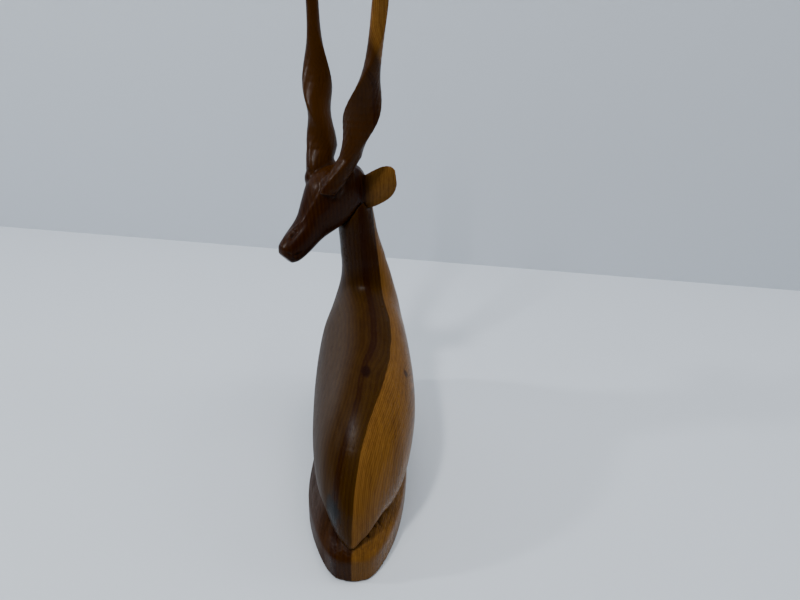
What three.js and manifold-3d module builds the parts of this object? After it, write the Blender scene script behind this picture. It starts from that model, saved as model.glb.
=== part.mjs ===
// Resting spiral-horned antelope, carved in wood and set on a boat-shaped plinth.
// Millimetres. Origin at the middle of the plinth's underside, +Z up, +Y the way the animal lies, +X its right.
import * as THREE from 'three';
import { mergeVertices } from 'three/addons/utils/BufferGeometryUtils.js';
import Module from 'manifold-3d';

// Overall sizes
const plinthLength = 160;
const plinthWidth = 50;
const plinthHeight = 13.5; // upright wall, up to the rim
const shoulderRise = 6.5; // rim to the flat seat under the body
const shoulderRun = 9;
const bodyWidth = 51.5;
const bodyRise = 80; // from just above the rim to the withers
const neckRise = 54; // withers to the seat of the skull
const neckWidth = 24;
const headLength = 62;
const hornRise = 164;
const hornSpread = 20; // how far a horn leans outwards at its widest
const hornWidth = 18;
const earLength = 25.5;
const earWidth = 18;

// Pose of the head: turned back over the left shoulder, nose dipped
const headTurn = THREE.MathUtils.degToRad(132);
const headDip = THREE.MathUtils.degToRad(41);
const hornHalfTurn = 48; // rise per half turn of a horn's twist
const hornFirstTurn = { left: THREE.MathUtils.degToRad(54), right: THREE.MathUtils.degToRad(22) };
const hornLean = { left: 0.94, right: 1.1 }; // each horn's own share of the spread
const hornRootSpread = { left: 0.05, right: 0.75 }; // extra thickness where a horn grows out of the brow
const rootSweep = { left: 0.6, right: 0.35 }; // how far a horn's root runs forward, per unit of depth

// Joints
const glueGap = 0.3;
const dowelRadius = 4;
const hornTenonRadius = 3;
const earTenonRadius = 2;
const rimRound = 0.9;

const wasm = await Module();
wasm.setup();

// ---- helpers -------------------------------------------------------------

function toSolid(geometry) {
  const bare = geometry.clone();
  bare.deleteAttribute('normal');
  bare.deleteAttribute('uv');
  const welded = mergeVertices(bare, 1e-3);
  const triVerts = new Uint32Array(welded.index.array);
  const vertProperties = new Float32Array(welded.attributes.position.array);
  const solid = new wasm.Manifold(new wasm.Mesh({ numProp: 3, vertProperties, triVerts }));
  if (solid.volume() > 0) {
    return solid;
  }
  triVerts.reverse();
  return new wasm.Manifold(new wasm.Mesh({ numProp: 3, vertProperties, triVerts }));
}

function toGeometry(solid) {
  const { vertProperties, triVerts } = solid.getMesh();
  const geometry = new THREE.BufferGeometry();
  geometry.setAttribute('position', new THREE.BufferAttribute(new Float32Array(vertProperties), 3));
  geometry.setIndex(new THREE.BufferAttribute(new Uint32Array(triVerts), 1));
  geometry.computeVertexNormals();
  return geometry;
}

// Rows of [position, value, value...] read as smooth curves of position.
function profile(rows) {
  const curve = new THREE.CubicInterpolant(
    rows.map((row) => row[0]),
    rows.flatMap((row) => row.slice(1)),
    rows[0].length - 1,
  );
  return (position) => Array.from(curve.evaluate(position));
}

// A tube whose rings are bent to ringAt(along 0..1, turn 0..1), closed by flat ends.
function loft(rings, around, ringAt) {
  const tube = new THREE.CylinderGeometry(1, 1, 1, around, rings);
  const position = tube.attributes.position;
  const here = new THREE.Vector3();
  for (let i = 0; i < position.count; i += 1) {
    here.fromBufferAttribute(position, i);
    const along = here.y + 0.5;
    if (Math.hypot(here.x, here.z) > 0.5) {
      const turn = Math.atan2(here.x, here.z) / (2 * Math.PI);
      here.copy(ringAt(along, turn - Math.floor(turn)));
    } else {
      here.copy(ringAt(along, 0)).add(ringAt(along, 0.5)).multiplyScalar(0.5);
    }
    position.setXYZ(i, here.x, here.y, here.z);
  }
  return toSolid(tube);
}

function rod(from, to, radius, around = 20) {
  const axis = to.clone().sub(from);
  const geometry = new THREE.CylinderGeometry(radius, radius, axis.length(), around);
  geometry.applyQuaternion(new THREE.Quaternion().setFromUnitVectors(
    new THREE.Vector3(0, 1, 0), axis.clone().normalize()));
  geometry.translate(...from.clone().add(to).multiplyScalar(0.5).toArray());
  return toSolid(geometry);
}

function egg(centre, radii, around = 20, rows = 12) {
  const geometry = new THREE.SphereGeometry(1, around, rows);
  geometry.scale(...radii);
  geometry.translate(...centre);
  return toSolid(geometry);
}

const mix = THREE.MathUtils.lerp;

// ---- plinth ----------------------------------------------------------------

const halfLength = plinthLength / 2;
const halfWidth = plinthWidth / 2;

// Half width of the boat plan, as a share of the full half width, along -1..1 of the length.
const boatPlan = profile([
  [-1, 0.02], [-0.99, 0.21], [-0.96, 0.37], [-0.9, 0.51], [-0.82, 0.64], [-0.7, 0.79], [-0.54, 0.92],
  [-0.36, 0.985], [-0.15, 1], [0.1, 1], [0.4, 0.97], [0.65, 0.85], [0.83, 0.64], [0.94, 0.38], [1, 0.02],
]);
// The plan isn't quite straight: sideways drift along the same length, as a share of the half width.
const boatDrift = profile([[-1, 0], [-0.8, -0.02], [-0.5, -0.05], [-0.2, -0.03], [0.2, 0], [1, 0]]);

// Height and inset of each ring, from the underside up.
const plinthLevels = [
  [0, 0.8],
  [0.6, 0],
  [plinthHeight - rimRound, 0],
  [plinthHeight, 0.5 * rimRound],
  [plinthHeight + 0.4 * shoulderRise, 0.28 * shoulderRun],
  [plinthHeight + 0.75 * shoulderRise, 0.6 * shoulderRun],
  [plinthHeight + shoulderRise, shoulderRun],
];

function plinthSolid(grow) {
  const last = plinthLevels.length - 1;
  return loft(last, 64, (along, turn) => {
    const [height, inset] = plinthLevels[Math.round(along * last)];
    const angle = 2 * Math.PI * turn;
    const station = -Math.cos(angle);
    const width = boatPlan(station)[0] * halfWidth - inset;
    const side = THREE.MathUtils.clamp(20 * Math.sin(angle), -1, 1);
    return new THREE.Vector3(
      boatDrift(station)[0] * halfWidth + side * (Math.max(width, 0.3) + grow),
      station * (halfLength - inset + grow),
      height + (height > 0 ? grow : -grow),
    );
  });
}

// ---- torso -----------------------------------------------------------------

const torsoFloor = plinthHeight + 1.8;
const withers = torsoFloor + bodyRise;

// Along the length (share of the half length): centre shift, widest half width and its height, back height,
// overhanging edge half width and height. Widths are shares of half the body width, heights of the body rise.
const bodyPlan = profile([
  [-0.965, 0.0, 0.03, 0.03, 0.06, 0.03, 0.02],
  [-0.93, 0.0, 0.18, 0.06, 0.17, 0.17, 0.03],
  [-0.86, 0.01, 0.36, 0.11, 0.30, 0.34, 0.05],
  [-0.75, 0.02, 0.56, 0.18, 0.44, 0.52, 0.085],
  [-0.62, 0.04, 0.77, 0.25, 0.56, 0.74, 0.13],
  [-0.45, 0.06, 0.91, 0.32, 0.67, 0.88, 0.18],
  [-0.25, 0.075, 0.99, 0.39, 0.76, 0.93, 0.2],
  [-0.05, 0.05, 1.0, 0.46, 0.83, 0.93, 0.2],
  [0.15, 0.01, 0.97, 0.5, 0.92, 0.91, 0.2],
  [0.33, -0.02, 0.91, 0.53, 0.99, 0.87, 0.2],
  [0.55, -0.02, 0.80, 0.52, 0.97, 0.77, 0.19],
  [0.72, -0.01, 0.64, 0.46, 0.8, 0.62, 0.17],
  [0.86, 0.0, 0.42, 0.36, 0.58, 0.41, 0.13],
  [0.94, 0.0, 0.12, 0.2, 0.3, 0.12, 0.1],
]);

const torsoUnder = torsoFloor - 4;
const undercut = 3; // how far the edge hangs over

function torsoRing(along, turn) {
  const share = mix(-0.965, 0.94, along);
  const [shift, wide, wideAt, back, edge, edgeAt] = bodyPlan(share);
  const unit = bodyWidth / 2;
  const side = turn < 0.5 ? 1 : -1;
  const step = (turn < 0.5 ? turn : 1 - turn) * 36;
  const edgeX = edge * unit;
  const tuck = side > 0 ? 0.05 * Math.exp(-(((share + 0.84) / 0.1) ** 2)) : 0;
  const edgeZ = torsoFloor + (edgeAt + tuck) * bodyRise;
  const rootX = Math.max(edgeX - undercut, 0.2);
  const spots = [[0, torsoUnder], [rootX, torsoUnder], [rootX, edgeZ - 0.3], [edgeX, edgeZ]];
  let x;
  let z;
  if (step < 6) {
    const leg = Math.min(Math.floor(step / 2), 2);
    const part = step / 2 - leg;
    x = mix(spots[leg][0], spots[leg + 1][0], part);
    z = mix(spots[leg][1], spots[leg + 1][1], part);
  } else {
    const rise = (step - 6) / 12;
    const wideZ = Math.max(torsoFloor + wideAt * bodyRise, edgeZ + 0.3);
    const topZ = torsoFloor + back * bodyRise;
    if (rise < 0.2) {
      x = mix(edgeX, wide * unit, Math.sin(rise / 0.2 * Math.PI / 2));
      z = mix(edgeZ, wideZ, rise / 0.2);
    } else {
      const bow = (rise - 0.2) / 0.8 * Math.PI / 2;
      x = wide * unit * Math.cos(bow) ** 0.92;
      z = wideZ + (topZ - wideZ) * Math.sin(bow);
    }
    x = Math.max(x, 0);
  }
  return new THREE.Vector3(shift * unit + side * x, share * halfLength, z);
}

// Up the neck (share of the neck rise above the withers): centre x and y, half width, half depth.
const neckPlan = profile([
  [-0.95, 0.0, 0.46, 1.2, 2.0],
  [-0.6, 0.0, 0.49, 1.45, 1.95],
  [-0.32, -0.2, 0.51, 1.58, 1.62],
  [-0.12, -0.3, 0.51, 1.32, 1.34],
  [0.03, -0.3, 0.51, 1.18, 1.15],
  [0.2, -2.0, 0.52, 1.04, 1.04],
  [0.45, -4.7, 0.53, 0.88, 0.96],
  [0.7, -7.0, 0.54, 0.84, 0.92],
  [0.88, -8.8, 0.55, 0.76, 0.8],
  [0.93, -9.4, 0.55, 0.55, 0.6],
]);
const neckEnd = 0.93;

function neckMiddle(share) {
  const [x, y] = neckPlan(share);
  return new THREE.Vector3(x, y * halfLength, withers + share * neckRise);
}

function neckRing(along, turn) {
  const share = mix(-0.95, neckEnd, along);
  const [, , wide, deep] = neckPlan(share);
  const angle = 2 * Math.PI * turn;
  const ring = new THREE.Vector3(Math.sin(angle) * wide, Math.cos(angle) * deep, 0);
  return neckMiddle(share).addScaledVector(ring, neckWidth / 2);
}

function foldedLegs(side) {
  const unit = bodyWidth / 2;
  const limb = 0.19 * unit;
  const thigh = egg([(side * 0.62 + 0.06) * unit, -0.27 * halfLength, torsoFloor + 0.25 * bodyRise],
    [unit * 0.33, 0.25 * halfLength, 0.23 * bodyRise]);
  const shank = egg([side * unit * 0.69, -0.14 * halfLength, torsoFloor + limb], [limb, 0.32 * halfLength, limb]);
  const shoulder = egg([side * unit * 0.56, 0.4 * halfLength, torsoFloor + 0.25 * bodyRise],
    [unit * 0.37, 0.17 * halfLength, 0.24 * bodyRise]);
  const forearm = egg([side * unit * 0.58, 0.38 * halfLength, torsoFloor + limb], [limb, 0.3 * halfLength, limb]);
  const knee = egg([side * unit * 0.42, 0.68 * halfLength, torsoFloor + 1.5 * limb],
    [limb, 0.09 * halfLength, 1.6 * limb]);
  return [thigh, shank, shoulder, forearm, knee];
}

// ---- head ------------------------------------------------------------------

const forward = new THREE.Vector3(-Math.sin(headTurn), Math.cos(headTurn), 0);
const leftward = new THREE.Vector3(-forward.y, forward.x, 0);
const backward = forward.clone().multiplyScalar(-Math.cos(headDip)).setZ(Math.sin(headDip));
const crownward = forward.clone().multiplyScalar(Math.sin(headDip)).setZ(Math.cos(headDip));
const seat = new THREE.Vector3(-10.6, 0.565 * halfLength, withers + neckRise);
const muzzle = seat.clone().addScaledVector(backward, -0.85 * headLength);

// A point of the head: back from the muzzle, towards the crown, and to the animal's left, in head lengths.
function inHead(back, crown, left) {
  return muzzle.clone()
    .addScaledVector(backward, back * headLength)
    .addScaledVector(crownward, crown * headLength)
    .addScaledVector(leftward, left * headLength);
}

// Back from the muzzle: height of the bridge, depth of the jaw, half width.
const headPlan = profile([
  [0.0, 0.06, 0.07, 0.065],
  [0.03, 0.09, 0.095, 0.09],
  [0.12, 0.105, 0.125, 0.11],
  [0.33, 0.12, 0.155, 0.13],
  [0.46, 0.175, 0.195, 0.17],
  [0.6, 0.235, 0.245, 0.2],
  [0.75, 0.225, 0.27, 0.21],
  [0.87, 0.14, 0.23, 0.17],
  [0.94, 0.08, 0.17, 0.13],
  [0.97, 0.04, 0.1, 0.07],
]);
const headEnd = 0.97;

function headSolid(grow) {
  const extra = grow / headLength;
  const skull = loft(22, 28, (along, turn) => {
    const [bridge, jaw, half] = headPlan(mix(0, headEnd, along));
    const angle = 2 * Math.PI * turn;
    const tall = (Math.cos(angle) > 0 ? bridge : jaw) + extra;
    return inHead(
      mix(-extra, headEnd + extra, along),
      tall * Math.sign(Math.cos(angle)) * Math.abs(Math.cos(angle)) ** 0.9,
      -(half + extra) * Math.sign(Math.sin(angle)) * Math.abs(Math.sin(angle)) ** 0.85,
    );
  });
  const brows = [1, -1].map((side) => egg(
    inHead(0.68, 0.15, side * 0.115).toArray(),
    [0.1, 0.1, 0.11].map((share) => (share + extra) * headLength)));
  return skull.add(brows[0]).add(brows[1]);
}

// ---- horns and ears ----------------------------------------------------------

// Up the horn (share of its rise): outward lean, half width, half thickness, all shares of their sizes.
const hornPlan = profile([
  [-0.07, -0.06, 0.5, 0.46],
  [-0.04, -0.02, 0.66, 0.56],
  [0.0, 0.05, 0.76, 0.6],
  [0.07, 0.2, 0.86, 0.58],
  [0.15, 0.39, 1.0, 0.54],
  [0.27, 0.63, 0.72, 0.46],
  [0.4, 0.79, 0.47, 0.36],
  [0.6, 0.94, 0.37, 0.29],
  [0.8, 1.0, 0.30, 0.22],
  [0.93, 0.98, 0.18, 0.14],
  [1.0, 0.95, 0.05, 0.05],
]);

const hornStart = -0.07;

function hornMiddle(side, share) {
  const hand = side > 0 ? 'left' : 'right';
  const lean = hornPlan(share)[0] * hornLean[hand] * hornSpread;
  const root = inHead(0.85, 0.19, side * 0.155);
  const sweep = rootSweep[hand] * hornRise * Math.max(0, 0.03 - share);
  return root.clone()
    .addScaledVector(leftward, side * lean)
    .addScaledVector(forward, sweep - 0.5 * lean)
    .setZ(root.z + share * hornRise);
}

function hornSolid(side) {
  const hand = side > 0 ? 'left' : 'right';
  return loft(52, 18, (along, turn) => {
    const share = mix(hornStart, 1, along);
    const [, wide, plainThick] = hornPlan(share);
    const rooting = 1 - THREE.MathUtils.smoothstep(share, -0.02, 0.18);
    const thick = plainThick * (1 + hornRootSpread[hand] * rooting);
    const angle = -2 * Math.PI * turn * side;
    const twist = hornFirstTurn[hand] - Math.PI * share * hornRise / hornHalfTurn;
    const across = Math.cos(angle) * wide * hornWidth / 2;
    const through = Math.sign(Math.sin(angle)) * Math.abs(Math.sin(angle)) ** 1.4 * thick * hornWidth / 2;
    return hornMiddle(side, share)
      .addScaledVector(leftward, side * (across * Math.cos(twist) - through * Math.sin(twist)))
      .addScaledVector(forward, across * Math.sin(twist) + through * Math.cos(twist));
  });
}

// Along the ear (share of its length): half width, half thickness.
const earPlan = profile([
  [0.0, 0.6, 0.27],
  [0.25, 0.88, 0.25],
  [0.55, 0.95, 0.17],
  [0.8, 0.87, 0.13],
  [0.93, 0.68, 0.1],
  [1.0, 0.42, 0.06],
]);

const earLift = { 1: 0.12, [-1]: -0.3 }; // the right ear hangs lower, behind its horn

function earFrame(side) {
  const root = inHead(0.74, -0.125, side * 0.1);
  const along = backward.clone().addScaledVector(leftward, side).setZ(backward.z + earLift[side]).normalize();
  const flat = leftward.clone().multiplyScalar(side * 0.5).addScaledVector(forward, 0.8).normalize();
  const across = flat.clone().cross(along).normalize().multiplyScalar(-side);
  const face = along.clone().cross(across).normalize();
  return { root, along, across, face };
}

const earSkew = -0.4; // the tip is cut slanting, longer along the upper edge

function earSolid(side, grow) {
  const { root, along: axis, across, face } = earFrame(side);
  return loft(14, 20, (along, turn) => {
    const [wide, thick] = earPlan(along);
    const angle = 2 * Math.PI * turn;
    const reach = Math.sin(angle) * (wide * earWidth / 2 + grow);
    const cup = 0.25 * (reach / earWidth) ** 2 * earWidth;
    return root.clone()
      .addScaledVector(axis, along * (earLength + grow + earSkew * reach))
      .addScaledVector(across, reach)
      .addScaledVector(face, Math.cos(angle) * (thick * earWidth / 2 + grow) + cup);
  });
}

// ---- assembly ------------------------------------------------------------------

// The hole for a round peg from one point to another, a glue gap wider and deeper than the peg.
function hole(from, to, radius) {
  const reach = to.clone().sub(from).normalize().multiplyScalar(glueGap);
  return rod(from.clone().sub(reach), to.clone().add(reach), radius + glueGap);
}

let plinth = plinthSolid(0);
let torso = loft(30, 36, torsoRing).add(loft(16, 28, neckRing));
for (const side of [1, -1]) {
  for (const piece of foldedLegs(side)) {
    torso = torso.add(piece);
  }
}
torso = torso.subtract(plinthSolid(glueGap)).trimByPlane([0, 0, 1], torsoUnder + 1);
let head = headSolid(0);
const headClear = headSolid(glueGap);
torso = torso.subtract(headClear).subtract(earSolid(1, glueGap)).subtract(earSolid(-1, glueGap));

const nodes = [];

// Two dowels stand in the plinth and hold the torso.
for (const [name, share] of [['dowel_rear', -0.34], ['dowel_front', 0.34]]) {
  const foot = new THREE.Vector3(0, share * halfLength, plinthHeight * 0.45);
  const top = foot.clone().setZ(torsoFloor + 0.22 * bodyRise);
  plinth = plinth.subtract(hole(foot, top, dowelRadius));
  torso = torso.subtract(hole(foot, top, dowelRadius));
  nodes.push([name, rod(foot, top, dowelRadius), '#b98a58']);
}

// One dowel joins the neck to the head.
const neckTop = inHead(0.8, -0.02, 0);
const neckDeep = neckMiddle(0.2);
torso = torso.subtract(hole(neckDeep, neckTop, dowelRadius));
head = head.subtract(hole(neckDeep, neckTop, dowelRadius));
nodes.push(['dowel_neck', rod(neckDeep, neckTop, dowelRadius), '#b98a58']);

// Horns and ears are carved with round tenons that sit in the head.
for (const [side, hand] of [[1, 'left'], [-1, 'right']]) {
  const hornNeck = hornMiddle(side, 0.06);
  const hornFoot = inHead(0.82, 0.09, side * 0.1);
  const horn = hornSolid(side).subtract(headClear).add(rod(hornFoot, hornNeck, hornTenonRadius));
  head = head.subtract(hole(hornFoot, hornNeck, hornTenonRadius));
  nodes.push([`horn_${hand}`, horn, '#5a2c14']);

  const { root, along } = earFrame(side);
  const earFoot = root.clone().addScaledVector(along, 0.06 * earLength);
  const earNeck = root.clone().addScaledVector(along, 0.3 * earLength);
  const ear = earSolid(side, 0).subtract(headClear).add(rod(earFoot, earNeck, earTenonRadius));
  head = head.subtract(hole(earFoot, earNeck, earTenonRadius));
  nodes.push([`ear_${hand}`, ear, '#8a5226']);
}
nodes.push(['plinth', plinth, '#6a3c1e'], ['torso', torso, '#7a3d1c'], ['head', head, '#5e2c14']);

const group = new THREE.Group();
group.name = 'resting_antelope_carving';
for (const [name, solid, colour] of nodes) {
  const mesh = new THREE.Mesh(
    toGeometry(solid),
    new THREE.MeshStandardMaterial({ color: colour, roughness: 0.4, metalness: 0 }),
  );
  mesh.name = name;
  group.add(mesh);
}

export default group;
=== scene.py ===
"""Resting antelope carving: finished wood pieces over the solid model, and the studio it stands in."""

import math

import bmesh
import bpy
import numpy as np
from mathutils import Matrix, Vector
from mathutils.kdtree import KDTree


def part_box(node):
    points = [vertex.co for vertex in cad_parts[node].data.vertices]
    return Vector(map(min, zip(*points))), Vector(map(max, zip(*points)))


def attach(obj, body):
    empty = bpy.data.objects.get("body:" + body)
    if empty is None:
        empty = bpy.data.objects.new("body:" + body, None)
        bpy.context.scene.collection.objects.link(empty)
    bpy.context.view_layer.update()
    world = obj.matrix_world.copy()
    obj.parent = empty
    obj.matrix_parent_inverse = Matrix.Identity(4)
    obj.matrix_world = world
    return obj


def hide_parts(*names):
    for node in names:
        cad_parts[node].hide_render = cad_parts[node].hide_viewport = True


bl_info = {
    "name": "Resting Antelope Carving",
    "version": (1, 0, 0),
    "blender": (4, 5, 0),
    "location": "View3D > Sidebar > Antelope",
    "description": "Builds the carved and oiled wood pieces of a resting antelope figure",
    "category": "Object",
}

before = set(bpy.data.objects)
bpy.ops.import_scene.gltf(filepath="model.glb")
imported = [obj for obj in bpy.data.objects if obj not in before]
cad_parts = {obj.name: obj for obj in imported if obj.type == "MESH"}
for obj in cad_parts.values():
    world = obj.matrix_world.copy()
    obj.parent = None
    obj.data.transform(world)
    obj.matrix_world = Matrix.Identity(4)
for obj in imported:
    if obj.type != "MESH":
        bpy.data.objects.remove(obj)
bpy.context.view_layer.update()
MM = 0.001


# ---- sizes and colours ---------------------------------------------------------


class CarvingSizes(bpy.types.PropertyGroup):
    """Fineness of the carved surfaces and depth of the tool work."""

    body_voxel: bpy.props.FloatProperty(
        name="Body fineness", description="Size of a surface cell on the plinth and torso",
        default=0.75 * MM, min=0.4 * MM, max=3 * MM, unit="LENGTH", precision=5)
    head_voxel: bpy.props.FloatProperty(
        name="Head fineness", description="Size of a surface cell on the head, horns and ears",
        default=0.42 * MM, min=0.25 * MM, max=2 * MM, unit="LENGTH", precision=5)
    carving_depth: bpy.props.FloatProperty(
        name="Carving depth", description="How deep the eye, nostril and mouth lines are cut",
        default=1.0, min=0.0, max=2.0, subtype="FACTOR")


class WoodColours(bpy.types.PropertyGroup):
    """Colours of the oiled two-tone wood."""

    heart: bpy.props.FloatVectorProperty(
        name="Heartwood", description="Dark wood on the animal's left",
        subtype="COLOR", size=3, min=0, max=1, default=(0.0380, 0.0160, 0.0010))
    streak: bpy.props.FloatVectorProperty(
        name="Dark streak", description="Darkest rings inside the heartwood",
        subtype="COLOR", size=3, min=0, max=1, default=(0.0170, 0.0040, 0.0001))
    sap: bpy.props.FloatVectorProperty(
        name="Sapwood", description="Pale orange wood on the animal's right",
        subtype="COLOR", size=3, min=0, max=1, default=(0.170, 0.0760, 0.0140))
    dowel: bpy.props.FloatVectorProperty(
        name="Dowel wood", description="Plain pale wood of the hidden dowels",
        subtype="COLOR", size=3, min=0, max=1, default=(0.42, 0.26, 0.13))


def sizes():
    """The sizes set in the open scene."""
    return bpy.context.scene.carving_sizes


def colours():
    """The wood colours set in the open scene."""
    return bpy.context.scene.wood_colours


# ---- mesh work -------------------------------------------------------------------


def node_mesh(name):
    """A merged copy of a CAD node's mesh, in place."""
    bm = bmesh.new()
    bm.from_mesh(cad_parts[name].data)
    bmesh.ops.remove_doubles(bm, verts=bm.verts, dist=0.002 * MM)
    return bm


def with_nodes(bm, names, grow):
    """Adds more CAD nodes to bm and swells everything by grow, so that glue gaps close."""
    for name in names:
        bm.from_mesh(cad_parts[name].data)
    bmesh.ops.remove_doubles(bm, verts=bm.verts, dist=0.002 * MM)
    swell(bm, grow)
    return bm


def swell(bm, grow):
    """Moves every point outwards by grow, or inwards if grow is below 0."""
    bm.normal_update()
    moves = [(v, v.normal * grow) for v in bm.verts]
    for v, move in moves:
        v.co += move


def new_piece(bm, name):
    """A smooth-shaded object made from bm, which is freed."""
    mesh = bpy.data.meshes.new(name)
    bm.to_mesh(mesh)
    bm.free()
    piece = bpy.data.objects.new(name, mesh)
    bpy.context.scene.collection.objects.link(piece)
    for face in mesh.polygons:
        face.use_smooth = True
    return piece


def with_even_skin(bm, name, voxel):
    """The solid in bm, skinned again with small even cells, as a bmesh."""
    rough = new_piece(bm, name)
    skin = rough.modifiers.new("skin", "REMESH")
    skin.mode = "VOXEL"
    skin.voxel_size = voxel
    graph = bpy.context.evaluated_depsgraph_get()
    even = bmesh.new()
    even.from_mesh(rough.evaluated_get(graph).data)
    worn = rough.data
    bpy.data.objects.remove(rough)
    bpy.data.meshes.remove(worn)
    return even


def sharp_line(name, angle, where):
    """A tree of points along the sharp edges of a CAD node, one about every third of a millimetre."""
    bm = node_mesh(name)
    points = []
    for edge in bm.edges:
        a, b = (v.co for v in edge.verts)
        if edge.calc_face_angle(0.0) > angle and where(a) and where(b):
            steps = max(1, round((b - a).length / (0.3 * MM)))
            points += [a.lerp(b, i / steps) for i in range(steps + 1)]
    bm.free()
    tree = KDTree(max(len(points), 1))
    for i, point in enumerate(points):
        tree.insert(point, i)
    tree.balance()
    return tree


def smooth(bm, times, where=None):
    """Evens out a surface, all over or only at the points for which where(point) is true."""
    verts = [v for v in bm.verts if where is None or where(v.co)]
    for _ in range(times):
        bmesh.ops.smooth_vert(bm, verts=verts, factor=0.5, use_axis_x=True, use_axis_y=True, use_axis_z=True)


def along_path(point, path):
    """Distance from point to a chain of points, and how far along the chain the nearest place is, 0 to 1."""
    best, place = 1e9, 0.0
    for i in range(len(path) - 1):
        a, b = path[i], path[i + 1]
        run = b - a
        t = max(0.0, min(1.0, (point - a).dot(run) / run.length_squared))
        gap = (point - a - run * t).length
        if gap < best:
            best, place = gap, (i + t) / (len(path) - 1)
    return best, place


def work(bm, path, reach, depth):
    """One stroke of the gouge, in mm: sinks the surface along a path, or raises it for a depth below 0."""
    path = [Vector(p) * MM for p in path]
    reach *= MM
    depth *= MM * sizes().carving_depth
    lows = [min(p[i] for p in path) - reach for i in range(3)]
    highs = [max(p[i] for p in path) + reach for i in range(3)]
    bm.normal_update()
    moves = []
    for v in bm.verts:
        c = v.co
        if any(c[i] < lows[i] or c[i] > highs[i] for i in range(3)):
            continue
        gap, place = along_path(c, path)
        if gap >= reach:
            continue
        fall = (1 - (gap / reach) ** 2) ** 2
        ends = min(1.0, 6 * min(place, 1 - place) + 0.25)
        moves.append((v, v.normal * (-depth * fall * ends)))
    for v, move in moves:
        v.co += move


def end_shoot(bm, at, along, taper, near=None, within=0.0):
    """Thins a shoot over the last stretch before a plane, and cuts it off at the plane.

    With near and within, only what lies that close to a point is thinned and cut.
    """
    thinning = 0.45 * MM
    bm.normal_update()
    moves = []
    for v in bm.verts:
        past = (v.co - at).dot(along)
        if past > -taper and (near is None or (v.co - near).length < within):
            moves.append((v, v.normal * (-thinning * min(1.0, 1 + past / taper))))
    for v, move in moves:
        v.co += move
    inside = [f for f in bm.faces if near is None or (f.calc_center_median() - near).length < within]
    edges = [e for f in inside for e in f.edges]
    corners = [v for f in inside for v in f.verts]
    shoot = list(dict.fromkeys(edges + corners + inside))
    cut = bmesh.ops.bisect_plane(bm, geom=shoot, plane_co=at, plane_no=along, dist=1e-6, clear_outer=True)
    rim = [e for e in cut["geom_cut"] if isinstance(e, bmesh.types.BMEdge) and e.is_boundary]
    bmesh.ops.holes_fill(bm, edges=rim, sides=0)
    bmesh.ops.triangulate(bm, faces=[f for f in bm.faces if len(f.verts) > 4])


def mark_relief(piece, steps):
    """Stores how hollow the surface is at each vertex, in mm: above 0 in creases, below 0 on ridges."""
    mesh = piece.data
    count = len(mesh.vertices)
    spots = np.empty(count * 3)
    mesh.vertices.foreach_get("co", spots)
    spots = spots.reshape(-1, 3)
    ends = np.empty(len(mesh.edges) * 2, dtype=np.int32)
    mesh.edges.foreach_get("vertices", ends)
    ends = ends.reshape(-1, 2)
    normals = np.array([v.vector for v in mesh.vertex_normals])
    both = np.concatenate([ends[:, 0], ends[:, 1]])
    other = np.concatenate([ends[:, 1], ends[:, 0]])
    near = np.maximum(np.bincount(both, minlength=count), 1)
    soft = spots.copy()
    for _ in range(steps):
        around = np.stack([np.bincount(both, soft[other, axis], count) for axis in range(3)], axis=1)
        soft = 0.4 * soft + 0.6 * around / near[:, None]
    hollow = np.einsum("ij,ij->i", soft - spots, normals) / MM
    layer = mesh.attributes.new("hollow", "FLOAT", "POINT")
    layer.data.foreach_set("value", hollow.astype(np.float32))


# ---- shared shader groups ----------------------------------------------------------


def group(name, inputs, outputs):
    """An empty shader group; inputs are (label, kind, value or None), outputs are (label, kind)."""
    tree = bpy.data.node_groups.new(name, "ShaderNodeTree")
    for label, kind, value in inputs:
        socket = tree.interface.new_socket(label, in_out="INPUT", socket_type=kind)
        if value is not None:
            socket.default_value = value
    for label, kind in outputs:
        tree.interface.new_socket(label, in_out="OUTPUT", socket_type=kind)
    return tree, tree.nodes.new("NodeGroupInput"), tree.nodes.new("NodeGroupOutput")


def place(tree, kind, links=(), **settings):
    """One shader node: settings are its properties, links its inputs as {socket: value or output}."""
    node = tree.nodes.new(kind)
    for key, value in settings.items():
        setattr(node, key, value)
    for key, value in dict(links).items():
        socket = node.inputs[key]
        if isinstance(value, bpy.types.NodeSocket):
            tree.links.new(value, socket)
        else:
            socket.default_value = value
    return node


def calc(tree, operation, a, b=0.0, c=0.0, clamp=False):
    """One step of arithmetic on shader values; c is what MULTIPLY_ADD adds."""
    node = place(tree, "ShaderNodeMath", {0: a, 1: b}, operation=operation, use_clamp=clamp)
    if operation == "MULTIPLY_ADD":
        if isinstance(c, bpy.types.NodeSocket):
            tree.links.new(c, node.inputs[2])
        else:
            node.inputs[2].default_value = c
    return node.outputs[0]


def blur_step(tree, value, low, high):
    """0 below low, 1 above high, and smooth between."""
    node = place(tree, "ShaderNodeMapRange", {0: value, 1: low, 2: high, 3: 0.0, 4: 1.0},
                 interpolation_type="SMOOTHSTEP")
    return node.outputs[0]


def colour_mix(tree, share, a, b, blend="MIX"):
    """Colour a, blended with colour b by a share from 0 to 1."""
    node = tree.nodes.new("ShaderNodeMix")
    node.data_type = "RGBA"
    node.blend_type = blend
    for index, value in ((0, share), (6, a), (7, b)):
        if isinstance(value, bpy.types.NodeSocket):
            tree.links.new(value, node.inputs[index])
        else:
            node.inputs[index].default_value = value
    return node.outputs[2]


def ripple(tree, vector, scale, detail=3.0, roughness=0.5):
    """Soft noise from 0 to 1."""
    node = place(tree, "ShaderNodeTexNoise", {"Vector": vector, "Scale": scale, "Detail": detail,
                                              "Roughness": roughness})
    return node.outputs[0]


def stretched(tree, vector, scale):
    """A position times a scale for each axis; a pattern is finer where the scale is larger."""
    return place(tree, "ShaderNodeVectorMath", {0: vector, 1: scale}, operation="MULTIPLY").outputs[0]


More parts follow.
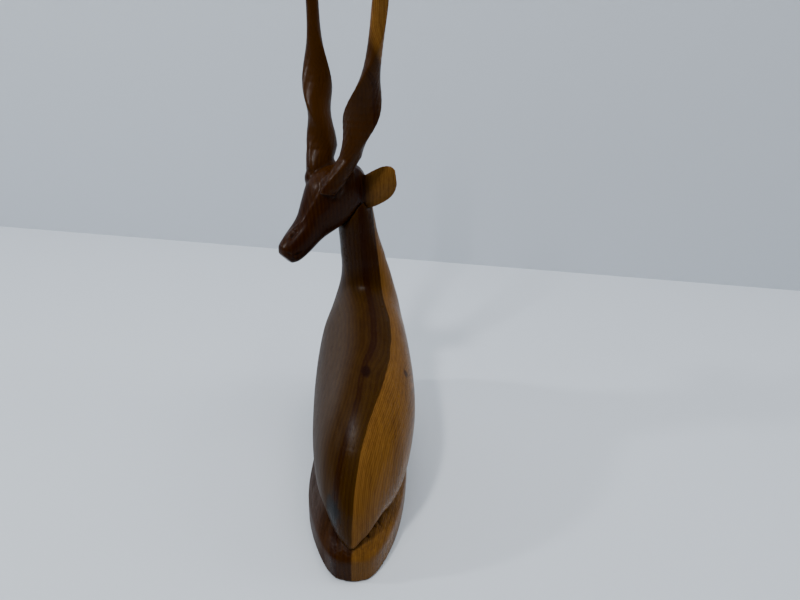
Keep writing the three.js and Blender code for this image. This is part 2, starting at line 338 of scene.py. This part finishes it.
# The edge between heartwood and sapwood, in metres: it swings from side to side along the body,
# and leans towards the animal's left above the back.
EDGE_MIDDLE = 0.0070
EDGE_SWING = 0.0074
EDGE_HALF_WAVE = 0.077
EDGE_FURTHEST = -0.003  # how far along the body it lies furthest right
EDGE_LEAN = 0.045
BACK_HEIGHT = 0.080
HORN_ROOT_SHIFT = 0.0085
HORN_SHIFT = -0.0045


def ring_group():
    """Where a point lies among the growth rings, in mm: 0 at the heartwood's edge, above 0 in sapwood."""
    tree, source, sink = group("growth_rings", [("Position", "NodeSocketVector", None)],
                               [("Ring", "NodeSocketFloat")])
    split = place(tree, "ShaderNodeSeparateXYZ", {0: source.outputs["Position"]})
    x, y, z = split.outputs
    along = calc(tree, "ADD", y, -EDGE_FURTHEST)
    swing = calc(tree, "COSINE", calc(tree, "MULTIPLY", along, math.pi / EDGE_HALF_WAVE))
    edge = calc(tree, "MULTIPLY_ADD", swing, EDGE_SWING, EDGE_MIDDLE)
    rise = calc(tree, "MAXIMUM", calc(tree, "SUBTRACT", z, BACK_HEIGHT), 0.0)
    edge = calc(tree, "SUBTRACT", edge, calc(tree, "MULTIPLY", rise, EDGE_LEAN))
    horn_root = calc(tree, "MULTIPLY", blur_step(tree, z, 0.158, 0.172), calc(
        tree, "SUBTRACT", 1.0, blur_step(tree, z, 0.196, 0.212)))
    edge = calc(tree, "MULTIPLY_ADD", horn_root, HORN_ROOT_SHIFT, edge)
    edge = calc(tree, "MULTIPLY_ADD", blur_step(tree, z, 0.204, 0.225), HORN_SHIFT, edge)
    drift = ripple(tree, stretched(tree, source.outputs["Position"], (60, 60, 12)), 1.0, 2.0)
    ring = calc(tree, "SUBTRACT", x, edge)
    ring = calc(tree, "MULTIPLY_ADD", calc(tree, "SUBTRACT", drift, 0.5), 0.0022, ring)
    tree.links.new(calc(tree, "MULTIPLY", ring, 1000.0), sink.inputs["Ring"])
    return tree


def knot_group():
    """A knot: 1 at its heart, fading out over its size, drawn out along the timber."""
    tree, source, sink = group(
        "timber_knot",
        [("Position", "NodeSocketVector", None), ("Heart", "NodeSocketVector", (0, 0, 0)),
         ("Size", "NodeSocketFloat", 0.003)],
        [("Knot", "NodeSocketFloat"), ("Swirl", "NodeSocketFloat")])
    away = place(tree, "ShaderNodeVectorMath", {0: source.outputs["Position"], 1: source.outputs["Heart"]},
                 operation="SUBTRACT").outputs[0]
    ragged = ripple(tree, stretched(tree, source.outputs["Position"], (260, 260, 260)), 1.0, 2.0)
    drawn_out = stretched(tree, away, (1.0, 0.62, 0.62))
    far = place(tree, "ShaderNodeVectorMath", {0: drawn_out}, operation="LENGTH").outputs[1]
    far = calc(tree, "DIVIDE", far, source.outputs["Size"])
    far = calc(tree, "MULTIPLY_ADD", calc(tree, "SUBTRACT", ragged, 0.5), 0.9, far)
    tree.links.new(calc(tree, "SUBTRACT", 1.0, blur_step(tree, far, 0.35, 1.0)), sink.inputs["Knot"])
    tree.links.new(calc(tree, "SUBTRACT", 1.0, blur_step(tree, far, 0.6, 4.5)), sink.inputs["Swirl"])
    return tree


# Knots: heart and size in metres, how far they push the rings, how dark, and whether stained blue-black
KNOTS = (((0.0030, -0.0219, 0.0753), 0.0030, 2.6, 0.95, 0.0),
         ((0.0222, -0.0124, 0.0676), 0.0020, 1.6, 0.80, 0.0),
         ((-0.0085, -0.0650, 0.0300), 0.0064, 1.2, 0.95, 1.0),
         ((-0.0200, 0.0200, 0.0520), 0.0022, 1.8, 0.60, 0.0))


def knots_in(tree, knots, where, ring):
    """How dark the knots and the blue-black stain are, and the rings as the knots push them aside."""
    dark_knots, stain, pushed = 0.0, 0.0, ring
    for heart_at, size, push, dark, blue in KNOTS:
        knot = place(tree, "ShaderNodeGroup", {}, node_tree=knots)
        tree.links.new(where, knot.inputs["Position"])
        knot.inputs["Heart"].default_value = heart_at
        knot.inputs["Size"].default_value = size
        pushed = calc(tree, "MULTIPLY_ADD", knot.outputs["Swirl"], push, pushed)
        shade = calc(tree, "MULTIPLY", knot.outputs["Knot"], dark)
        if blue:
            stain = calc(tree, "MAXIMUM", stain, shade)
        else:
            dark_knots = calc(tree, "MAXIMUM", dark_knots, shade)
    return dark_knots, stain, pushed


def waves(tree, distance, pace):
    """Rings as waves of their distance: 0 in a pale ring, 1 in a dark one."""
    return calc(tree, "MULTIPLY_ADD", calc(tree, "SINE", calc(tree, "MULTIPLY", distance, pace)), 0.5, 0.5)


def heartwood(tree, source, wavy, rings_at, streaks, broad, height_up):
    """Dark wood: darkest in one band of rings and up the neck, where the darkening is partly the neck's dark
    grain and partly painted shade; mid brown next to the sapwood, and lightened by painted light from the
    top of the head up the horns.
    """
    broad_rings, fine_rings = rings_at
    from_band = calc(tree, "ABSOLUTE", calc(tree, "ADD", wavy, 6.6))
    band = calc(tree, "SUBTRACT", 1.0, blur_step(tree, from_band, 0.2, 3.4))
    deep = blur_step(tree, wavy, -10.0, -22.0)
    above_shoulder = blur_step(tree, height_up, 0.088, 0.104)
    neck = calc(tree, "MULTIPLY", above_shoulder, blur_step(tree, height_up, 0.158, 0.140))
    tone = calc(tree, "MULTIPLY_ADD", broad_rings, 0.36, calc(tree, "MULTIPLY", band, 0.62))
    tone = calc(tree, "MULTIPLY_ADD", fine_rings, 0.26, tone)
    tone = calc(tree, "MULTIPLY_ADD", deep, 0.08, tone)
    # partly the neck's dark grain, partly painted shade: the heartwood is darkened up the neck
    tone = calc(tree, "MULTIPLY_ADD", neck, 0.40, tone)
    # painted light: the heartwood is lightened from the top of the head up the horns
    tone = calc(tree, "MULTIPLY_ADD", blur_step(tree, height_up, 0.156, 0.172), -0.30, tone)
    tone = calc(tree, "MULTIPLY_ADD", calc(tree, "SUBTRACT", streaks, 0.55), 1.0, tone)
    tone = calc(tree, "MULTIPLY_ADD", calc(tree, "SUBTRACT", broad, 0.5), 0.8, tone, clamp=True)
    colour = colour_mix(tree, tone, source.outputs["Heart"], source.outputs["Streak"])
    return colour_mix(tree, source.outputs["Redness"], colour, (0.90, 0.52, 0.25, 1), "MULTIPLY")


def sapwood(tree, source, rings_at, streaks, broad):
    """Pale wood, with its rings as fine darker lines."""
    broad_rings, fine_rings = rings_at
    deep = colour_mix(tree, 0.75, source.outputs["Sap"], (0.034, 0.0095, 0.0008, 1))
    tone = calc(tree, "MULTIPLY_ADD", broad_rings, 0.20, calc(tree, "MULTIPLY_ADD", streaks, 0.9, -0.46))
    tone = calc(tree, "MULTIPLY_ADD", fine_rings, 0.44, tone)
    tone = calc(tree, "MULTIPLY_ADD", calc(tree, "SUBTRACT", broad, 0.45), 0.8, tone, clamp=True)
    return colour_mix(tree, tone, source.outputs["Sap"], deep)


def wood_group(rings, knots):
    """Two-tone wood with rings, fibres, pores and knots: its colour, roughness, height and duller flank."""
    tree, source, sink = group(
        "two_tone_wood",
        [("Heart", "NodeSocketColor", (0.07, 0.027, 0.01, 1)),
         ("Streak", "NodeSocketColor", (0.026, 0.008, 0.003, 1)),
         ("Sap", "NodeSocketColor", (0.3, 0.125, 0.026, 1)), ("Redness", "NodeSocketFloat", 0.0),
         ("Blend", "NodeSocketFloat", 0.45), ("Shift", "NodeSocketFloat", 0.0),
         ("Gouged", "NodeSocketFloat", 0.0)],
        [("Colour", "NodeSocketColor"), ("Roughness", "NodeSocketFloat"), ("Height", "NodeSocketFloat"),
         ("Flank", "NodeSocketFloat")])
    where = place(tree, "ShaderNodeTexCoord").outputs["Object"]
    ring = place(tree, "ShaderNodeGroup", {}, node_tree=rings)
    tree.links.new(where, ring.inputs["Position"])
    ring = calc(tree, "ADD", ring.outputs["Ring"], source.outputs["Shift"])
    height_up = place(tree, "ShaderNodeSeparateXYZ", {0: where}).outputs[2]
    lean = math.radians(32)
    in_timber = place(tree, "ShaderNodeVectorRotate", {"Vector": where, "Axis": (1, 0, 0), "Angle": lean},
                      rotation_type="AXIS_ANGLE").outputs[0]

    # fibres and streaks run along the timber, and are fine across it
    fibre = ripple(tree, stretched(tree, in_timber, (2600, 2600, 34)), 1.0, 4.0, 0.6)
    streaks = ripple(tree, stretched(tree, in_timber, (760, 420, 6)), 1.0, 3.0, 0.55)
    broad = ripple(tree, stretched(tree, in_timber, (110, 80, 7)), 1.0, 2.0, 0.5)
    cloud = ripple(tree, stretched(tree, in_timber, (45, 26, 9)), 1.0, 1.0)

    # growth rings, wavering a little: broad ones, with finer ones between
    dark_knots, stain, pushed = knots_in(tree, knots, where, ring)
    wavy = calc(tree, "MULTIPLY_ADD", streaks, 0.35, pushed)
    wavy = calc(tree, "MULTIPLY_ADD", cloud, 2.4, wavy)
    rings_at = (waves(tree, wavy, 3.1), waves(tree, wavy, 8.3))
    heart = heartwood(tree, source, wavy, rings_at, streaks, broad, height_up)
    sap = sapwood(tree, source, rings_at, streaks, broad)

    edge = calc(tree, "MULTIPLY_ADD", calc(tree, "SUBTRACT", streaks, 0.5), 0.9, ring)
    side = place(tree, "ShaderNodeMapRange", {0: edge, 1: -0.1, 2: source.outputs["Blend"], 3: 0.0, 4: 1.0},
                 interpolation_type="SMOOTHSTEP").outputs[0]
    colour = colour_mix(tree, side, heart, sap)
    colour = colour_mix(tree, dark_knots, colour, (0.010, 0.0022, 0.0006, 1))
    colour = colour_mix(tree, stain, colour, (0.008, 0.0085, 0.0095, 1))

    # pores: short dark dashes along the fibres
    dashes = ripple(tree, stretched(tree, in_timber, (2200, 2200, 26)), 1.0, 2.0, 0.7)
    pores = blur_step(tree, dashes, 0.58, 0.70)
    colour = colour_mix(tree, calc(tree, "MULTIPLY", pores, 0.22), colour, source.outputs["Streak"])
    fleck = calc(tree, "MULTIPLY_ADD", fibre, 0.9, 0.55)
    shade = place(tree, "ShaderNodeCombineColor", {0: fleck, 1: fleck, 2: fleck}).outputs[0]
    colour = colour_mix(tree, 0.8, colour, shade, "MULTIPLY")

    # gouge marks left on the slope above the plinth's rim, with painted shade in their hollows
    cut = ripple(tree, stretched(tree, where, (520, 60, 520)), 1.0, 3.0, 0.6)
    gouged = calc(tree, "MULTIPLY", blur_step(tree, height_up, 0.0118, 0.0150), source.outputs["Gouged"])
    shaded_nick = calc(tree, "MULTIPLY", blur_step(tree, cut, 0.46, 0.62), gouged)
    # painted shade: the hollows of the gouge marks are darkened
    colour = colour_mix(tree, calc(tree, "MULTIPLY", shaded_nick, 0.32), colour, (0.0075, 0.0020, 0.0002, 1))

    # painted shade darkens the creases, and the ridges are lightened towards the sapwood colour
    relief = place(tree, "ShaderNodeAttribute", attribute_name="hollow").outputs["Fac"]
    shaded_crease = blur_step(tree, relief, 0.015, 0.16)
    ridge = blur_step(tree, calc(tree, "MULTIPLY", relief, -1.0), 0.05, 0.30)
    # painted shade: the creases are darkened towards a deep brown
    colour = colour_mix(tree, calc(tree, "MULTIPLY", shaded_crease, 0.75), colour, (0.0060, 0.0022, 0.0008, 1))
    worn = colour_mix(tree, 0.5, colour, source.outputs["Sap"])
    colour = colour_mix(tree, calc(tree, "MULTIPLY", ridge, 0.22), colour, worn)
    tree.links.new(colour, sink.inputs["Colour"])

    # rubbed oil: duller along the fibres, in pores and creases, and most of all on the left flank
    low = blur_step(tree, height_up, 0.108, 0.088)
    flank = calc(tree, "MULTIPLY", blur_step(tree, ring, -9.0, -15.0), low)
    rough = calc(tree, "MULTIPLY_ADD", streaks, 0.20, 0.12)
    rough = calc(tree, "MULTIPLY_ADD", cloud, 0.16, rough)
    rough = calc(tree, "MULTIPLY_ADD", flank, 0.30, rough)
    rough = calc(tree, "MULTIPLY_ADD", pores, 0.14, rough)
    rough = calc(tree, "MULTIPLY_ADD", shaded_nick, 0.15, rough)
    rough = calc(tree, "MULTIPLY_ADD", shaded_crease, 0.25, rough, clamp=True)
    tree.links.new(rough, sink.inputs["Roughness"])
    tree.links.new(calc(tree, "MULTIPLY", blur_step(tree, ring, -14.0, -25.0), low), sink.inputs["Flank"])

    height = calc(tree, "MULTIPLY_ADD", pores, -0.8, calc(tree, "MULTIPLY", fibre, 0.5))
    height = calc(tree, "MULTIPLY_ADD", cloud, 1.6, height)
    height = calc(tree, "MULTIPLY_ADD", calc(tree, "MULTIPLY", cut, gouged), -9.0, height)
    tree.links.new(height, sink.inputs["Height"])
    return tree


def oiled_wood(name, wood, gloss, **surface):
    """Two-tone wood under oil: surface gives the wood group's own inputs, by name."""
    material = bpy.data.materials.new(name)
    material.use_nodes = True
    tree = material.node_tree
    tree.nodes.clear()
    tint = colours()
    grain = place(tree, "ShaderNodeGroup", node_tree=wood)
    for label, value in (("Heart", tint.heart), ("Streak", tint.streak), ("Sap", tint.sap)):
        grain.inputs[label].default_value = (*value, 1)
    for label, value in surface.items():
        grain.inputs[label.capitalize()].default_value = value
    bump = place(tree, "ShaderNodeBump", {
        "Height": grain.outputs["Height"], "Strength": 0.45, "Distance": 0.14 * MM})
    shine = calc(tree, "MULTIPLY_ADD", grain.outputs["Flank"], 0.38, gloss)
    shader = place(tree, "ShaderNodeBsdfPrincipled", {
        "Base Color": grain.outputs["Colour"], "Roughness": grain.outputs["Roughness"],
        "Normal": bump.outputs[0], "Specular IOR Level": shine})
    out = place(tree, "ShaderNodeOutputMaterial")
    tree.links.new(shader.outputs[0], out.inputs[0])
    return material


def timber(name, gloss, **surface):
    """The oiled timber of one family of pieces, made once."""
    if name not in bpy.data.materials:
        groups = bpy.data.node_groups
        rings = groups.get("growth_rings") or ring_group()
        knots = groups.get("timber_knot") or knot_group()
        wood = groups.get("two_tone_wood") or wood_group(rings, knots)
        oiled_wood(name, wood, gloss, **surface)
    return bpy.data.materials[name]


def dowel_wood():
    """Plain turned wood with straight grain."""
    material = bpy.data.materials.new("turned_dowel")
    material.use_nodes = True
    tree = material.node_tree
    tree.nodes.clear()
    where = place(tree, "ShaderNodeTexCoord").outputs["Object"]
    grain = ripple(tree, stretched(tree, where, (900, 900, 40)), 1.0, 4.0, 0.6)
    pale = (*colours().dowel, 1)
    dark = (0.5 * pale[0], 0.42 * pale[1], 0.36 * pale[2], 1)
    colour = colour_mix(tree, blur_step(tree, grain, 0.35, 0.72), pale, dark)
    bump = place(tree, "ShaderNodeBump", {"Height": grain, "Strength": 0.3, "Distance": 0.08 * MM})
    shader = place(tree, "ShaderNodeBsdfPrincipled", {
        "Base Color": colour, "Roughness": calc(tree, "MULTIPLY_ADD", grain, 0.2, 0.5),
        "Normal": bump.outputs[0]})
    tree.links.new(shader.outputs[0], place(tree, "ShaderNodeOutputMaterial").inputs[0])
    return material


def finish_piece(bm, node, relief_steps, material):
    """Makes the finished piece of one node from bm, and rides it on the carving's only body."""
    piece = new_piece(bm, f"{node}_carved")
    mark_relief(piece, relief_steps)
    piece.data.materials.append(material)
    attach(piece, "root")
    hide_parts(node)
    return piece


# ---- operators ---------------------------------------------------------------------


class CARVE_OT_plinth(bpy.types.Operator):
    """Builds the boat-shaped plinth with its softened rim and gouged slope"""
    bl_idname = "carve.plinth"
    bl_label = "Plinth"

    def execute(self, context):
        foot_edge = 1.5 * MM
        gouges, half_width, half_length = 96, 24, 78
        rim_height, slope_height = 12.8, 16.4
        bm = with_even_skin(node_mesh("plinth"), "plinth_skin", sizes().body_voxel)
        smooth(bm, 18, where=lambda p: p.z > foot_edge)
        # gouge marks climb the slope between the rim and the body, all the way round
        _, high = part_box("plinth")
        for i in range(gouges):
            turn = 2 * math.pi * (i + 0.35 * math.sin(5.1 * i)) / gouges
            out = Vector((math.sin(turn) * half_width, -math.cos(turn) * half_length))
            foot = (out.x, out.y, rim_height)
            mid = (out.x * 0.86, out.y * (0.955 + 0.008 * math.sin(2.3 * i)), slope_height)
            top = (out.x * 0.7, out.y * 0.92, high[2] / MM)
            work(bm, (foot, mid, top), 1.6 + 0.5 * math.sin(3.7 * i), 0.34 + 0.16 * math.sin(7.9 * i))
        finish_piece(bm, "plinth", 8, timber("plinth_timber", 0.06, blend=0.5, redness=0.55, gouged=1.0))
        return {"FINISHED"}


class CARVE_OT_torso(bpy.types.Operator):
    """Builds the resting body with its folded legs, its neck and the sharp edge over the plinth"""
    bl_idname = "carve.torso"
    bl_label = "Torso"

    def execute(self, context):
        # the sharp edges of the legs and over the plinth stay crisp; the rest is rubbed round
        legs_top, crisp = 38 * MM, 1.3 * MM
        line = sharp_line("torso", math.radians(38), lambda p: p.z < legs_top)
        bm = with_even_skin(node_mesh("torso"), "torso_skin", sizes().body_voxel)
        smooth(bm, 3)
        smooth(bm, 26, where=lambda p: p.z > legs_top or line.find(p)[2] > crisp)
        # the neck flows out of the shoulders
        collar, collar_reach = Vector((0.0, 38 * MM, 92 * MM)), 30 * MM
        smooth(bm, 130, where=lambda p: (p - collar).length < collar_reach and 62 * MM < p.z < 108 * MM)
        smooth(bm, 20, where=lambda p: 55 * MM < p.z < 125 * MM)
        finish_piece(bm, "torso", 9, timber("body_timber", 0.075, blend=0.35))
        return {"FINISHED"}


class CARVE_OT_head(bpy.types.Operator):
    """Carves the head, its brow, eye, cheek, nostril and mouth, and the roots of the horns and ears"""
    bl_idname = "carve.head"
    bl_label = "Head"

    def execute(self, context):
        swelling = 0.22 * MM
        grown = ("horn_left", "horn_right", "ear_left", "ear_right")
        bm = with_even_skin(with_nodes(node_mesh("head"), grown, swelling), "head_skin", sizes().head_voxel)
        smooth(bm, 12)
        fillet = 8.5 * MM
        for root in self.horn_roots():
            smooth(bm, 45, where=lambda p: (p - root).length < fillet)
        swell(bm, -swelling)
        self.carve(bm)
        self.trim(bm)
        finish_piece(bm, "head", 10, timber("head_timber", 0.075, blend=4.5, redness=0.55))
        return {"FINISHED"}

    @staticmethod
    def horn_roots():
        """Where each horn leaves the brow: the middle of the stretch of it that meets the skull."""
        meets_from, meets_to = 157 * MM, 166 * MM
        roots = []
        for hand in ("left", "right"):
            bm = node_mesh(f"horn_{hand}")
            base = [v.co for v in bm.verts if meets_from < v.co.z < meets_to]
            roots.append(sum(base, Vector()) / max(len(base), 1))
            bm.free()
        return roots

    @staticmethod
    def carve(bm):
        """Cuts the features of the face, the same on both sides of the nose."""
        nose = Vector((-35.9, 19.6, 120.0))
        across = Vector((0.669, -0.743, 0.0))
        # strokes on the animal's left: path, reach and depth; the right is their mirror image
        eyelid = ((-8.2, 27.8, 150.2), (-11.0, 26.2, 149.4), (-13.4, 25.4, 146.6), (-15.6, 25.4, 143.2))
        brow = ((-8.5, 27.0, 153.0), (-12.2, 25.0, 151.4), (-15.8, 24.4, 147.4))
        cheekbone = ((-9.6, 26.0, 146.6), (-12.6, 24.0, 143.6), (-16.4, 23.2, 140.4), (-24.0, 21.4, 134.8))
        cheek = ((-10.5, 24.6, 143.2), (-17.0, 21.9, 136.6), (-26.0, 19.6, 128.6))
        nostril = ((-34.8, 21.9, 128.6), (-35.8, 20.2, 126.8), (-36.2, 18.3, 125.0))
        mouth = ((-38.6, 14.6, 119.4), (-35.4, 15.6, 117.6), (-31.0, 17.0, 118.4), (-26.0, 18.2, 121.2))
        forehead = ((-5.0, 29.0, 158.5), (-11.5, 26.2, 156.4), (-16.2, 25.9, 152.0))
        strokes = ((eyelid, 1.2, 0.75), (brow, 1.9, -0.55), (cheekbone, 2.0, -0.5), (cheek, 2.2, 0.45),
                   (nostril, 1.1, 0.45), (mouth, 0.95, 0.6), (forehead, 3.0, -0.5))
        for path, reach, depth in strokes:
            path = [Vector(p) for p in path]
            work(bm, path, reach, depth)
            mirrored = [p - 2 * (p - nose).dot(across) * across for p in path]
            work(bm, mirrored, reach, depth)
        bridge = ((-17.5, 29.5, 150.0), (-24.6, 24.0, 142.2), (-32.0, 22.6, 133.6), (-39.9, 20.9, 124.6))
        work(bm, bridge, 2.4, -0.5)
        smooth(bm, 2)

    @staticmethod
    def trim(bm):
        """Ends the grown roots a little way up the horns and ears, just inside those pieces."""
        short_of_ear, ear_taper, ear_reach = 1.5 * MM, 4 * MM, 22 * MM
        horn_cut, horn_taper = 174 * MM, 5 * MM
        skull = sum((Vector(corner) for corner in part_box("head")), Vector()) / 2
        for hand in ("left", "right"):
            low, high = (Vector(corner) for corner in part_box(f"ear_{hand}"))
            ear = (low + high) / 2
            away = Vector((ear.x - skull.x, ear.y - skull.y, 0.0)).normalized()
            tip = max((ear - skull).dot(away), 0.0)
            end_shoot(bm, skull + away * (tip - short_of_ear), away, ear_taper, near=ear, within=ear_reach)
        end_shoot(bm, Vector((0, 0, horn_cut)), Vector((0, 0, 1)), horn_taper)


class CARVE_OT_horns(bpy.types.Operator):
    """Carves the pair of twisted horns"""
    bl_idname = "carve.horns"
    bl_label = "Horns"

    def execute(self, context):
        for hand in ("left", "right"):
            bm = with_even_skin(node_mesh(f"horn_{hand}"), f"horn_{hand}_skin", sizes().head_voxel)
            smooth(bm, 4)
            finish_piece(bm, f"horn_{hand}", 10, timber("head_timber", 0.075, blend=4.5, redness=0.55))
        return {"FINISHED"}


class CARVE_OT_ears(bpy.types.Operator):
    """Carves the pair of paddle ears"""
    bl_idname = "carve.ears"
    bl_label = "Ears"

    def execute(self, context):
        for hand in ("left", "right"):
            bm = with_even_skin(node_mesh(f"ear_{hand}"), f"ear_{hand}_skin", sizes().head_voxel)
            smooth(bm, 5)
            finish_piece(bm, f"ear_{hand}", 8, timber("ear_timber", 0.06, blend=8.0, redness=0.2, shift=5.5))
        return {"FINISHED"}


class CARVE_OT_dowels(bpy.types.Operator):
    """Gives the hidden dowels their plain turned wood"""
    bl_idname = "carve.dowels"
    bl_label = "Dowels"

    def execute(self, context):
        wood = dowel_wood()
        for name in ("dowel_rear", "dowel_front", "dowel_neck"):
            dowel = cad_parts[name]
            dowel.data.materials.clear()
            dowel.data.materials.append(wood)
        return {"FINISHED"}


class CARVE_OT_studio(bpy.types.Operator):
    """Sets the pale floor and wall, the soft lights and the camera"""
    bl_idname = "carve.studio"
    bl_label = "Studio"

    def execute(self, context):
        scene = context.scene
        paper = bpy.data.materials.new("studio_paper")
        paper.use_nodes = True
        surface = paper.node_tree.nodes["Principled BSDF"]
        surface.inputs["Base Color"].default_value = (0.68, 0.735, 0.80, 1)
        surface.inputs["Roughness"].default_value = 0.85
        surface.inputs["Specular IOR Level"].default_value = 0.2
        self.one_way(paper.node_tree, surface)
        # the wall's lower edge is a little below the floor
        floor_size, wall_size, wall_rise, wall_distance = 2.4, 1.0, 0.98, 0.279
        turn = Matrix.Rotation(math.radians(-7.5), 4, "Z")
        stand = Matrix.Translation((0, wall_distance, 0)) @ turn @ Matrix.Rotation(math.radians(90), 4, "X")
        raised = stand @ Matrix.Translation((0, wall_rise, 0))
        for name, size, matrix in (("studio_floor", floor_size, Matrix.Identity(4)),
                                   ("studio_wall", wall_size, raised)):
            bm = bmesh.new()
            bmesh.ops.create_grid(bm, x_segments=1, y_segments=1, size=size, matrix=matrix)
            sheet = new_piece(bm, name)
            sheet.data.materials.append(paper)

        self.light(scene)
        self.camera(scene)
        return {"FINISHED"}

    @staticmethod
    def one_way(tree, surface):
        """Lets the sheets be seen only from their front, so that the wall never hides the figure."""
        back = place(tree, "ShaderNodeNewGeometry").outputs["Backfacing"]
        clear = place(tree, "ShaderNodeBsdfTransparent").outputs[0]
        either = place(tree, "ShaderNodeMixShader", {0: back, 1: surface.outputs[0], 2: clear})
        tree.links.new(either.outputs[0], tree.nodes["Material Output"].inputs[0])

    @staticmethod
    def light(scene):
        """A dim sky and four soft lamps, two of which show in the polish."""
        world = bpy.data.worlds.new("studio_light")
        world.use_nodes = True
        world.node_tree.nodes["Background"].inputs[0].default_value = (0.80, 0.88, 1.0, 1)
        world.node_tree.nodes["Background"].inputs[1].default_value = 0.08
        scene.world = world

        # name, place, aim, size, power, and whether the polish mirrors it
        lamps = (("ceiling", (0.15, 0.02, 1.25), (0.05, 0.06, 0.0), 0.8, 9.6, False),
                 ("left_window", (-1.00, -0.05, 0.70), (0.0, 0.0, 0.10), 0.075, 4.2, True),
                 ("lamp_behind", (-0.25, -0.40, 0.86), (0.0, -0.05, 0.05), 0.075, 3.6, True),
                 ("right_fill", (0.9, 0.1, 0.6), (0.0, 0.0, 0.06), 0.5, 3.0, False))
        for name, spot, aim, size, power, mirrored in lamps:
            data = bpy.data.lights.new(name, "AREA")
            data.shape = "SQUARE"
            data.size = size
            data.energy = power
            lamp = bpy.data.objects.new(name, data)
            lamp.location = spot
            lamp.visible_glossy = mirrored
            lamp.rotation_euler = (Vector(aim) - Vector(spot)).to_track_quat("-Z", "Y").to_euler()
            scene.collection.objects.link(lamp)

    @staticmethod
    def camera(scene):
        """Looks down on the figure from behind, turned slightly about its own axis."""
        data = bpy.data.cameras.new("camera")
        data.sensor_width = 36
        data.lens = 28.8
        camera = bpy.data.objects.new("camera", data)
        camera.location = (0.0183, -0.275, 0.248)
        down, roll = 27.9, 1.52
        tilt = Matrix.Rotation(math.radians(90 - down), 3, "X")
        camera.rotation_euler = (tilt @ Matrix.Rotation(math.radians(roll), 3, "Z")).to_euler()
        scene.collection.objects.link(camera)
        scene.camera = camera


OPERATORS = (CARVE_OT_plinth, CARVE_OT_torso, CARVE_OT_head, CARVE_OT_horns, CARVE_OT_ears, CARVE_OT_dowels,
             CARVE_OT_studio)


class CARVE_PT_panel(bpy.types.Panel):
    """Sizes, colours and the build steps"""
    bl_idname = "CARVE_PT_panel"
    bl_label = "Resting Antelope"
    bl_space_type = "VIEW_3D"
    bl_region_type = "UI"
    bl_category = "Antelope"

    def draw(self, context):
        for settings in (sizes(), colours()):
            for key in settings.bl_rna.properties.keys():
                if key not in {"rna_type", "name"}:
                    self.layout.prop(settings, key)
        for step in OPERATORS:
            self.layout.operator(step.bl_idname)


CLASSES = (CarvingSizes, WoodColours, *OPERATORS, CARVE_PT_panel)


def register():
    for cls in CLASSES:
        bpy.utils.register_class(cls)
    bpy.types.Scene.carving_sizes = bpy.props.PointerProperty(type=CarvingSizes)
    bpy.types.Scene.wood_colours = bpy.props.PointerProperty(type=WoodColours)


def unregister():
    del bpy.types.Scene.wood_colours
    del bpy.types.Scene.carving_sizes
    for cls in reversed(CLASSES):
        bpy.utils.unregister_class(cls)


def main():
    """Builds every piece and the studio."""
    register()
    bpy.ops.carve.plinth()
    bpy.ops.carve.torso()
    bpy.ops.carve.head()
    bpy.ops.carve.horns()
    bpy.ops.carve.ears()
    bpy.ops.carve.dowels()
    bpy.ops.carve.studio()


if __name__ == "__main__":
    main()
